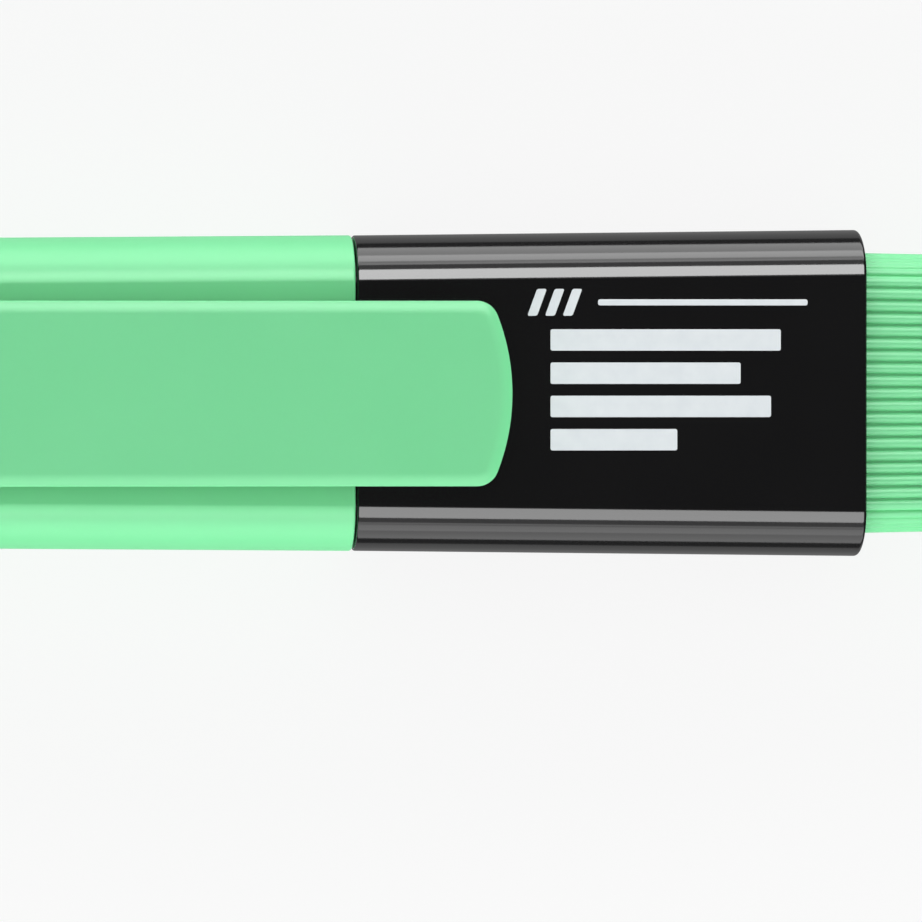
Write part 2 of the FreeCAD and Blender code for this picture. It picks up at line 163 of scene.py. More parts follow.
def grow_edges(shift: Sequence[float]) -> None:
    """Extrude the selected loose edges or ring.

    Args:
        shift: how far, in metres along each axis.
    """
    bpy.ops.mesh.extrude_edges_move(TRANSFORM_OT_translate={"value": tuple(shift)})


def grow_faces(shift: Sequence[float]) -> None:
    """Extrude the selected faces.

    Args:
        shift: how far, in metres along each axis.
    """
    bpy.ops.mesh.extrude_region_move(TRANSFORM_OT_translate={"value": tuple(shift)})


def slice_at(place: Sequence[float], facing: Sequence[float], remove: bool = False) -> None:
    """Cut the whole mesh along a plane.

    Args:
        place: a point on the plane.
        facing: the way the plane faces.
        remove: True where all that lies in front of the plane goes and the cut is closed.
    """
    bpy.ops.mesh.select_all(action="SELECT")
    bpy.ops.mesh.bisect(
        plane_co=place, plane_no=facing, use_fill=remove, clear_outer=remove, threshold=MERGE_GAP
    )


def round_over(radius: float, steps: int, foot: float = math.pi / 2, head: float = 0.0) -> None:
    """Round the rim of the selected face by insets that rise along an arc.

    Args:
        radius: the edge's radius in metres.
        steps: how many rings make the arc.
        foot: how far the arc leans from the face where it starts, in radians.
        head: how far it leans where it ends.
    """
    for step in range(steps):
        start = foot + (head - foot) * step / steps
        end = foot + (head - foot) * (step + 1) / steps
        across = radius * (math.sin(start) - math.sin(end))
        up = radius * (math.cos(end) - math.cos(start))
        bpy.ops.mesh.inset(thickness=across, depth=up, use_even_offset=True)


def seal(obj: bpy.types.Object) -> None:
    """Merge doubled points and turn every face outwards.

    Args:
        obj: the mesh object.
    """
    with editing(obj):
        bpy.ops.mesh.select_all(action="SELECT")
        bpy.ops.mesh.remove_doubles(threshold=MERGE_GAP)
        bpy.ops.mesh.normals_make_consistent(inside=False)


def combine(body: bpy.types.Object, tool: bpy.types.Object, how: Combine) -> None:
    """Join a solid to a body or cut it away, and use the solid up.

    Args:
        body: the mesh object that stays.
        tool: the closed mesh object that acts on it.
        how: join or cut.
    """
    modifier = body.modifiers.new(how.name, "BOOLEAN")
    modifier.object = tool
    modifier.operation = how.value
    modifier.solver = "EXACT"
    focus(body)
    bpy.ops.object.modifier_apply(modifier=modifier.name)
    bpy.data.objects.remove(tool)


def smooth(obj: bpy.types.Object) -> None:
    """Shade smooth between crisp corners, with normals that follow the large faces.

    Args:
        obj: the mesh object.
    """
    focus(obj)
    bpy.ops.object.shade_smooth_by_angle(angle=SMOOTH_ANGLE)
    modifier = obj.modifiers.new("Even", "WEIGHTED_NORMAL")
    modifier.mode = "FACE_AREA"
    modifier.keep_sharp = True
    bpy.ops.object.modifier_apply(modifier=modifier.name)


def bar(name: str, axis: Axis, radius: float, length: float, middle: Sequence[float],
        points: int = BAR_POINTS) -> bpy.types.Object:
    """A round bar with softened ends, for details that are joined or cut.

    Args:
        name: the object's name.
        axis: the way the bar runs.
        radius: its radius in metres.
        length: its length in metres.
        middle: its centre.
        points: points round it.

    Returns:
        The bar.
    """
    turn = {Axis.X: (0, math.pi / 2, 0), Axis.Y: (math.pi / 2, 0, 0), Axis.Z: (0, 0, 0)}[axis]
    made = add_primitive(
        name, bpy.ops.mesh.primitive_cylinder_add, vertices=points, radius=radius, depth=length,
        end_fill_type="NGON", location=middle, rotation=turn,
    )
    way = Vector(axis.value)
    with editing(made):
        pick(made, "faces", lambda f: abs(f.normal.dot(way)) > SQUARE_ON)
        bpy.ops.mesh.bevel(offset=radius / 4, segments=BAR_EDGE_STEPS, affect="EDGES")
    return made


def block(name: str, low: Sequence[float], high: Sequence[float], edge: float) -> bpy.types.Object:
    """A box with softened edges, for details that are joined or cut.

    Args:
        name: the object's name.
        low: its lowest corner.
        high: its highest corner.
        edge: the radius of its edges in metres.

    Returns:
        The box.
    """
    size = [b - a for a, b in zip(low, high)]
    middle = [(a + b) / 2 for a, b in zip(low, high)]
    made = add_primitive(name, bpy.ops.mesh.primitive_cube_add, size=1, location=middle, scale=size)
    with editing(made):
        bpy.ops.mesh.select_all(action="SELECT")
        bpy.ops.mesh.bevel(offset=edge, segments=BLOCK_EDGE_STEPS, affect="EDGES")
    return made


# ------------------------------------------------------------------------------ oval cross-sections
@dataclass(frozen=True)
class Oval:
    """A cross-section with a flat top and bottom and half-elliptical sides.

    Attributes:
        width: across the pen, in metres.
        thickness: over the flats, in metres.
        side: sideways depth of each half ellipse, in metres.
    """

    width: float
    thickness: float
    side: float

    @property
    def flat(self) -> float:
        """Half the width of the flats."""
        return self.width / 2 - self.side

    def grown(self, amount: float) -> "Oval":
        """The outline moved outwards by an amount, or inwards where it is negative."""
        return Oval(self.width + 2 * amount, self.thickness + 2 * amount, self.side + amount)

    def towards(self, other: "Oval", share: float) -> "Oval":
        """The section that lies a share of the way to another one.

        Args:
            other: the section at the far end.
            share: 0 gives this section and 1 gives the other.

        Returns:
            The section between.
        """
        pairs = ((self.width, other.width), (self.thickness, other.thickness), (self.side, other.side))
        return Oval(*(a + (b - a) * share for a, b in pairs))

    @classmethod
    def disc(cls, radius: float) -> "Oval":
        """A round section."""
        return cls(2 * radius, 2 * radius, radius)


Station = tuple[float, Oval]


def rounded_end(x: float, section: Oval, radius: float, inward: int) -> list[Station]:
    """Stations of a rounded edge, from the end face out to the side.

    Args:
        x: where the end face lies.
        section: the section where the rounding ends.
        radius: the edge's radius in metres.
        inward: 1 where the body lies towards +X of the face, -1 where it lies towards -X.

    Returns:
        The stations, the end face's rim first.
    """
    stations = []
    for step in range(ROUND_STEPS + 1):
        turn = math.pi / 2 * step / ROUND_STEPS
        along = radius * (1 - math.cos(turn))
        inset = radius * (1 - math.sin(turn))
        stations.append((x + inward * along, section.grown(-inset)))
    return stations


class Ring:
    """The edge of a shell that is being drawn along the pen."""

    def __init__(self, name: str, x: float, section: Oval, axis_z: float,
                 points: int = RING_POINTS) -> None:
        """Lay the first ring.

        Args:
            name: the mesh's name.
            x: the ring's place along the pen.
            section: its outline.
            axis_z: the height of the pen's axis.
            points: points round the ring, four times a whole number plus two.
        """
        self.obj = add_primitive(
            name, bpy.ops.mesh.primitive_circle_add, vertices=points, radius=section.side,
            fill_type="NOTHING", location=(x, 0, axis_z), rotation=(0, math.pi / 2, 0),
        )
        self.x = x
        self.axis_z = axis_z
        crown = 2 * section.side * math.cos(math.pi / points)
        self.section = Oval(2 * section.side, crown, section.side)
        with editing(self.obj):
            bpy.ops.mesh.select_all(action="SELECT")
            self.shape(section)

    def shape(self, target: Oval) -> None:
        """Change the selected ring's outline, one half at a time.

        Args:
            target: the outline it takes.
        """
        now = self.section
        mesh = bmesh.from_edit_mesh(self.obj.data)
        ring = [v for v in mesh.verts if v.select]
        tall = target.thickness / now.thickness
        deep = target.side / now.side
        bpy.ops.transform.resize(value=(1, 1, tall), center_override=(self.x, 0, self.axis_z))
        for way in (1, -1):
            bpy.ops.mesh.select_all(action="DESELECT")
            for vertex in ring:
                vertex.select_set(vertex.co.y * way > 0)
            bmesh.update_edit_mesh(self.obj.data)
            hinge = (self.x, way * now.flat, self.axis_z)
            bpy.ops.transform.resize(value=(1, deep, 1), center_override=hinge)
            bpy.ops.transform.translate(value=(0, way * (target.flat - now.flat), 0))
        for vertex in ring:
            vertex.select_set(True)
        mesh.select_flush(True)
        bmesh.update_edit_mesh(self.obj.data)
        self.section = target

    def draw(self, stations: Sequence[Station]) -> None:
        """Extrude the ring through the stations.

        Args:
            stations: each next place along the pen and the outline there.
        """
        for x, section in stations:
            grow_edges((x - self.x, 0, 0))
            self.x = x
            if section != self.section:
                self.shape(section)


def shell(name: str, stations: Sequence[Station], axis_z: float, closed: bool) -> bpy.types.Object:
    """A closed mesh drawn through oval stations.

    Args:
        name: the mesh's name.
        stations: places along the pen with the outline at each.
        axis_z: the height of the pen's axis.
        closed: True where the last station meets the first, False where both ends get a face.

    Returns:
        The mesh object.
    """
    first_x, first = stations[0]
    ring = Ring(name, first_x, first, axis_z)
    with editing(ring.obj):
        start = pick(ring.obj, "verts", lambda v: True)
        ring.draw(stations[1:])
        if not closed:
            bpy.ops.mesh.edge_face_add()
            pick(ring.obj, "verts", lambda v: v.index < len(start))
            bpy.ops.mesh.edge_face_add()
    seal(ring.obj)
    return ring.obj


# ---------------------------------------------------------------------------------- plan outlines
class Outline:
    """A flat outline drawn with straight runs and turns, then filled and raised."""

    TURN_STEP = math.radians(6)

    def __init__(self, name: str, start: Sequence[float]) -> None:
        """Set the first point.

        Args:
            name: the mesh's name.
            start: where the outline starts.
        """
        self.obj = add_primitive(name, bpy.ops.mesh.primitive_plane_add, size=MM, location=(0, 0, 0))
        with editing(self.obj):
            bpy.ops.mesh.select_all(action="SELECT")
            bpy.ops.mesh.merge(type="CENTER")
            bpy.ops.transform.translate(value=tuple(start))
        focus(self.obj)
        bpy.ops.object.mode_set(mode="EDIT")

    def run(self, dx: float, dy: float) -> None:
        """Draw a straight run.

        Args:
            dx: its length along X.
            dy: its length along Y.
        """
        bpy.ops.mesh.extrude_vertices_move(TRANSFORM_OT_translate={"value": (dx, dy, 0)})

    def turn(self, centre: Sequence[float], angle: float, axis: Axis = Axis.Z, steps: int = 0) -> None:
        """Draw an arc.

        Args:
            centre: the arc's centre.
            angle: how far it turns, in radians, positive by the right-hand rule.
            axis: what it turns about.
            steps: straight pieces in the arc, or 0 for one every few degrees.
        """
        pieces = steps or max(2, round(abs(angle) / self.TURN_STEP))
        bpy.ops.mesh.spin(steps=pieces, angle=-angle, center=tuple(centre), axis=axis.value)

    def fill(self) -> None:
        """Close the outline with a face, and leave the face selected."""
        bpy.ops.mesh.select_all(action="SELECT")
        bpy.ops.mesh.remove_doubles(threshold=MERGE_GAP)
        bpy.ops.mesh.edge_face_add()
        bpy.ops.mesh.normals_make_consistent(inside=False)
        mesh = bmesh.from_edit_mesh(self.obj.data)
        mesh.faces.ensure_lookup_table()
        if mesh.faces[0].normal.z < 0:
            bpy.ops.mesh.flip_normals()

    def done(self) -> bpy.types.Object:
        """Leave edit mode and give the object."""
        bpy.ops.object.mode_set(mode="OBJECT")
        return self.obj


# ---------------------------------------------------------------------------------------- finishes
def linear(code: str) -> tuple[float, float, float, float]:
    """An sRGB colour as linear light.

    Args:
        code: a hex colour such as "#78d899".

    Returns:
        Red, green, blue and an alpha of 1.
    """
    def one(part: str) -> float:
        value = int(part, 16) / 255
        return value / 12.92 if value <= 0.04045 else ((value + 0.055) / 1.055) ** 2.4

    return (one(code[1:3]), one(code[3:5]), one(code[5:7]), 1.0)


def add_node(tree: bpy.types.NodeTree, kind: str, settings: Optional[dict] = None,
             **inputs: object) -> bpy.types.Node:
    """Add a node, set what it is and connect or fill its inputs.

    Args:
        tree: the node tree.
        kind: the node's type name.
        settings: attributes of the node itself.
        inputs: socket name, with underscores for spaces, to an output socket or a value.

    Returns:
        The node.
    """
    node = tree.nodes.new(kind)
    for key, value in (settings or {}).items():
        setattr(node, key, value)
    for key, value in inputs.items():
        socket = next(s for s in node.inputs if s.name == key.replace("_", " ") and s.enabled)
        if isinstance(value, bpy.types.NodeSocket):
            tree.links.new(value, socket)
        else:
            socket.default_value = value
    return node


@dataclass(frozen=True)
class Finish:
    """What every finish shares: one Principled shader over patterns in real millimetres.

    Attributes:
        name: the material's name.
        colour: its main colour, sRGB.
        other_colour: the colour it drifts to, sRGB.
        drift_mm: size of the patches between the two colours.
        drift_detail: how many finer layers the patches have.
        roughness: lowest and highest roughness.
        grain_mm: spacing of the fine surface texture.
        grain_depth_mm: height of that texture.
        grain_detail: how many finer layers it has.
        stretch: how much longer the patterns are along the pen than across it.
        ior: index of refraction.
    """

    name: str
    colour: str
    other_colour: str
    drift_mm: float = 9.0
    drift_detail: float = 3.0
    roughness: tuple[float, float] = (0.35, 0.45)
    grain_mm: float = 0.2
    grain_depth_mm: float = 0.003
    grain_detail: float = 4.0
    stretch: float = 1.0
    ior: float = 1.5

    def shader_values(self) -> dict[str, object]:
        """Shader inputs that only this finish sets."""
        return {}

    def make(self) -> bpy.types.Material:
        """Build the material.

        Returns:
            The material, ready to be given to a piece.
        """
        material = bpy.data.materials.new(self.name)
        material.use_nodes = True
        tree = material.node_tree
        tree.nodes.clear()
        place = add_node(tree, "ShaderNodeTexCoord").outputs["Object"]
        along = add_node(tree, "ShaderNodeMapping", Vector=place, Scale=(1 / self.stretch, 1, 1))
        vector = along.outputs["Vector"]
        patches = add_node(
            tree, "ShaderNodeTexNoise", Vector=vector, Scale=1 / (self.drift_mm * MM),
            Detail=self.drift_detail,
        )
        tint = add_node(
            tree, "ShaderNodeMix", {"data_type": "RGBA"}, Factor=patches.outputs["Fac"],
            A=linear(self.colour), B=linear(self.other_colour),
        )
        fine = add_node(
            tree, "ShaderNodeTexNoise", Vector=vector, Scale=1 / (self.grain_mm * MM),
            Detail=self.grain_detail,
        )
        low, high = self.roughness
        sheen = add_node(tree, "ShaderNodeMapRange", Value=patches.outputs["Fac"], To_Min=low, To_Max=high)
        relief = add_node(
            tree, "ShaderNodeBump", Height=fine.outputs["Fac"],
            Distance=self.grain_depth_mm * MM, Strength=1.0,
        )
        shader = add_node(
            tree, "ShaderNodeBsdfPrincipled", Base_Color=tint.outputs["Result"],
            Roughness=sheen.outputs["Result"], Normal=relief.outputs["Normal"], IOR=self.ior,
            **self.shader_values(),
        )
        add_node(tree, "ShaderNodeOutputMaterial", Surface=shader.outputs["BSDF"])
        return material


@dataclass(frozen=True)
class MintPolypropylene(Finish):
    """Satin injection-moulded polypropylene in pastel mint.

    The mould is lightly spark-eroded, so highlights are broad and soft, and the milky plastic lets a
    little light in, so edges glow instead of turning dark.
    """

    name: str = "mint_moulded_polypropylene"
    colour: str = "#6ecf8f"
    other_colour: str = "#71d192"
    roughness: tuple[float, float] = (0.32, 0.37)
    grain_mm: float = 0.16
    grain_depth_mm: float = 0.0016

    def shader_values(self) -> dict[str, object]:
        """A little light travels under the surface."""
        return {
            "Subsurface_Weight": 0.12, "Subsurface_Radius": (0.6, 1.0, 0.7), "Subsurface_Scale": 0.8 * MM,
            "Specular_IOR_Level": 0.45,
        }


@dataclass(frozen=True)
class BlackPolystyrene(Finish):
    """Polished black polystyrene: a mirror-like gloss with crisp strips of light along its sides."""

    name: str = "black_polished_polystyrene"
    colour: str = "#070708"
    other_colour: str = "#0b0b0c"
    drift_mm: float = 14.0
    roughness: tuple[float, float] = (0.09, 0.12)
    grain_mm: float = 1.4
    grain_depth_mm: float = 0.0004
    ior: float = 1.9


@dataclass(frozen=True)
class BlackPolypropylene(Finish):
    """Satin black polypropylene of the neck and nib holder: soft, slightly grey highlights."""

    name: str = "black_moulded_polypropylene"
    colour: str = "#161617"
    other_colour: str = "#1b1b1c"
    roughness: tuple[float, float] = (0.32, 0.42)
    grain_mm: float = 0.2
    grain_depth_mm: float = 0.002


@dataclass(frozen=True)
class PadPrintInk(Finish):
    """Off-white pad-printing ink: flat and chalky, with a faint mottle from the silicone pad."""

    name: str = "offwhite_pad_print_ink"
    colour: str = "#cbd2d6"
    other_colour: str = "#d9dfe1"
    drift_mm: float = 1.2
    roughness: tuple[float, float] = (0.5, 0.62)
    grain_mm: float = 0.12
    grain_depth_mm: float = 0.002


@dataclass(frozen=True)
class SoakedFelt(Finish):
    """Bonded polyester fibre soaked with mint ink: matt, streaked along the fibres, a little fuzzy."""

    name: str = "mint_soaked_felt"
    colour: str = "#3fbf7c"
    other_colour: str = "#62d697"
    drift_mm: float = 0.5
    roughness: tuple[float, float] = (0.82, 0.95)
    grain_mm: float = 0.09
    grain_depth_mm: float = 0.03
    stretch: float = 9.0

    def shader_values(self) -> dict[str, object]:
        """Loose fibre ends catch light at the edge."""
        return {"Sheen_Weight": 0.35, "Sheen_Roughness": 0.5}


@dataclass(frozen=True)
class InkRod(SoakedFelt):
    """Soft fibre rod full of ink: coarser streaks and a paler colour than the nib."""

    name: str = "mint_ink_fibre_rod"
    colour: str = "#5fd092"
    other_colour: str = "#86e3ae"
    drift_mm: float = 1.1
    grain_mm: float = 0.25


@dataclass(frozen=True)
class ClearFilm(Finish):
    """Thin extruded polyethylene film: clear and shiny, with faint draw lines along its length."""

    name: str = "clear_drawn_film"
    colour: str = "#e8efee"
    other_colour: str = "#f4f8f7"
    roughness: tuple[float, float] = (0.08, 0.16)
    grain_mm: float = 0.3
    grain_depth_mm: float = 0.004
    stretch: float = 20.0

    def shader_values(self) -> dict[str, object]:
        """Light passes through it."""
        return {"Transmission_Weight": 0.85}


@dataclass(frozen=True)
class MilkyPolypropylene(Finish):
    """Uncoloured polypropylene of the inner cap: waxy white that light soaks into."""

    name: str = "milky_moulded_polypropylene"
    colour: str = "#dfe7e2"
    other_colour: str = "#e9efeb"
    roughness: tuple[float, float] = (0.3, 0.38)
    grain_mm: float = 0.3
    grain_depth_mm: float = 0.0015

    def shader_values(self) -> dict[str, object]:
        """Light travels far under the surface."""
        return {
            "Subsurface_Weight": 0.5, "Subsurface_Radius": (1.0, 1.0, 1.0), "Subsurface_Scale": 1.5 * MM,
        }


@dataclass(frozen=True)
class PaleTable(Finish):
    """Matt painted board under the pen, even and almost white."""

    name: str = "pale_painted_board"
    colour: str = "#555555"
    other_colour: str = "#565656"
    drift_mm: float = 300.0
    roughness: tuple[float, float] = (0.9, 0.95)
    grain_mm: float = 0.6
    grain_depth_mm: float = 0.004
    glow: float = 0.857

    def shader_values(self) -> dict[str, object]:
        """A glow from below keeps shadows faint, as on a light table."""
        return {
            "Emission_Color": linear("#ffffff"), "Emission_Strength": self.glow,
            "Specular_IOR_Level": 0.1,
        }


# ---------------------------------------------------------------------------------------- assembly
PEN_SIDE = 4.0 * MM         # sideways depth of the cap's and the barrel's rounded sides
NECK_INSET = 1.65 * MM      # from the outside at the shut line in to the neck, each side


@dataclass(frozen=True)
class Layout:
    """Places along the pen and shared sections, taken from the frame.

    Attributes:
        cap_end: the cap's closed end.
        rim: the cap's rim.
        front: the barrel's front edge.
        rear: the barrel's rear mouth.
        plug_end: the rear plug's end.
        axis_z: the height of the pen's axis.
        top_z: the height of the upper flat.
        rim_section: the outline at the shut line.
        neck: the outline of the neck that the cap closes on.
    """

    cap_end: float
    rim: float
    front: float
    rear: float
    plug_end: float
    axis_z: float
    top_z: float
    rim_section: Oval
    neck: Oval

    @classmethod
    def from_frame(cls) -> "Layout":
        """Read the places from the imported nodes.

        Returns:
            The layout.
        """
        cap_low, cap_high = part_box("cap_shell")
        barrel_low, barrel_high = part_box("barrel")
        _, plug_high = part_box("rear_plug")
        rim_section = Oval(cap_high.y - cap_low.y, cap_high.z - cap_low.z, PEN_SIDE)
        return cls(
            cap_end=cap_low.x, rim=cap_high.x, front=barrel_low.x, rear=barrel_high.x,
            plug_end=plug_high.x, axis_z=(cap_low.z + cap_high.z) / 2, top_z=cap_high.z,
            rim_section=rim_section, neck=rim_section.grown(-NECK_INSET),
        )


def settle(obj: bpy.types.Object, body: str, material: bpy.types.Material) -> None:
    """Finish a piece: shade it, dress it, and let it ride on its body.

    Args:
        obj: the piece.
        body: the body that carries it.
        material: its finish.
    """
    smooth(obj)
    obj.data.materials.clear()
    obj.data.materials.append(material)
    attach(obj, body)


@dataclass
class Barrel:
    """Glossy outer sleeve with its stepped bore.

    Attributes:
        layout: the pen's places and sections.
        taper: width gained from the front edge to the rear mouth.
        front_round: radius of the front edge.
        rear_round: radius of the rear edge.
        lead_in: bevel at the inner edge of both mouths.
        fit: clearance each side of the neck.
        bore_step: each side, from one bore to the next larger one.
        front_seat: the front bore's length.
        plug_seat: the rear bore's length.
    """

    layout: Layout
    taper: float = 0.95 * MM
    front_round: float = 0.2 * MM
    rear_round: float = 0.3 * MM
    lead_in: float = 0.12 * MM
    fit: float = 0.03 * MM
    bore_step: float = 0.25 * MM
    front_seat: float = 6.0 * MM
    plug_seat: float = 8.0 * MM

    @property
    def front_bore(self) -> Oval:
        """Bore that holds the neck."""
        return self.layout.neck.grown(self.fit)

    @property
    def rear_bore(self) -> Oval:
        """Bore that holds the rear plug's spigot."""
        return self.front_bore.grown(2 * self.bore_step)

    def stations(self) -> list[Station]:
        """The sleeve's wall, from the rear bore out round the outside and back to the front bore."""
        at = self.layout
        main_bore = self.front_bore.grown(self.bore_step)
        rear_outside = replace(at.rim_section, width=at.rim_section.width + self.taper)
        wall = [(at.rear - self.plug_seat, main_bore), (at.rear - self.plug_seat, self.rear_bore)]
        wall.append((at.rear - self.lead_in, self.rear_bore))
        wall.append((at.rear, self.rear_bore.grown(self.lead_in)))
        wall += rounded_end(at.rear, rear_outside, self.rear_round, -1)
        wall += reversed(rounded_end(at.front, at.rim_section, self.front_round, 1))
        wall.append((at.front, self.front_bore.grown(self.lead_in)))
        wall.append((at.front + self.lead_in, self.front_bore))
        wall.append((at.front + self.front_seat, self.front_bore))
        wall.append((at.front + self.front_seat, main_bore))
        wall.append(wall[0])
        return wall

    def build(self, finish: Finish) -> bpy.types.Object:
        """Model and dress the sleeve.

        Args:
            finish: its finish.

        Returns:
            The sleeve.
        """
        sleeve = shell("barrel_sleeve", self.stations(), self.layout.axis_z, closed=True)
        settle(sleeve, "barrel", finish.make())
        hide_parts("barrel")
        return sleeve


@dataclass
class PrintedMotif:
    """Generic motif printed on the barrel's flat: lines of text as plain bars under a thin rule.

    Attributes:
        layout: the pen's places and sections.
        ink_height: thickness of the ink.
        block_start: from the barrel's front edge to the bars.
        block_top: the bars' upper edge, across the pen.
        bar_height: height of a bar.
        bar_pitch: from one bar to the next.
        bar_lengths: the bars' lengths, top one first.
        rule_start: from the barrel's front edge to the strokes beside the rule.
        rule_y: the rule's middle, across the pen.
        rule_height: height of the rule.
        rule_length: length of the rule.
        stroke_height: height of a slanted stroke.
        stroke_width: width of a slanted stroke.
        stroke_pitch: from one slanted stroke to the next.
        stroke_count: how many slanted strokes.
        corner: radius of the bars' corners.
        corner_steps: straight pieces in a corner.
    """

    layout: Layout
    ink_height: float = 0.012 * MM
    block_start: float = 15.8 * MM
    block_top: float = 5.25 * MM
    bar_height: float = 1.75 * MM
    bar_pitch: float = 2.72 * MM
    bar_lengths: tuple[float, ...] = (18.9 * MM, 15.6 * MM, 18.1 * MM, 10.4 * MM)
    rule_start: float = 13.9 * MM
    rule_y: float = 7.45 * MM
    rule_height: float = 0.5 * MM
    rule_length: float = 17.2 * MM
    stroke_height: float = 2.2 * MM
    stroke_width: float = 0.8 * MM
    stroke_pitch: float = 1.45 * MM
    stroke_count: int = 3
    corner: float = 0.16 * MM
    corner_steps: int = 4

    def patch(self, x: float, y: float, length: float, height: float,
              lean: float = 0.0) -> bpy.types.Object:
        """One printed patch with softened corners.

        Args:
            x: its left edge.
            y: its middle, across the pen.
            length: along the pen.
            height: across the pen.
            lean: how far its upper edge is shifted along the pen.

        Returns:
            The patch.
        """
        outline = Outline("patch", (x, y - height / 2, self.layout.top_z - self.ink_height / 4))
        outline.run(length, 0)
        outline.run(lean, height)
        outline.run(-length, 0)
        outline.run(-lean, -height)
        outline.fill()
        bpy.ops.mesh.bevel(offset=self.corner, segments=self.corner_steps, affect="VERTICES")
        grow_faces((0, 0, self.ink_height))
        return outline.done()

    def build(self, finish: Finish) -> bpy.types.Object:
        """Print all the patches as one piece.

        Args:
            finish: the ink.

        Returns:
            The printed motif.
        """
        start = self.layout.front + self.block_start
        patches = []
        for row, length in enumerate(self.bar_lengths):
            y = self.block_top - self.bar_height / 2 - row * self.bar_pitch
            patches.append(self.patch(start, y, length, self.bar_height))
        left = self.layout.front + self.rule_start
        for stroke in range(self.stroke_count):
            x = left + stroke * self.stroke_pitch
            size = (self.stroke_width, self.stroke_height)
            patches.append(self.patch(x, self.rule_y, *size, lean=self.stroke_width))
        rule_x = left + (self.stroke_count + 1) * self.stroke_pitch
        patches.append(self.patch(rule_x, self.rule_y, self.rule_length, self.rule_height))
        focus(patches[0])
        for patch in patches:
            patch.select_set(True)
        bpy.ops.object.join()
        motif = bpy.context.object
        motif.name = "printed_motif"
        seal(motif)
        settle(motif, "barrel", finish.make())
        return motif


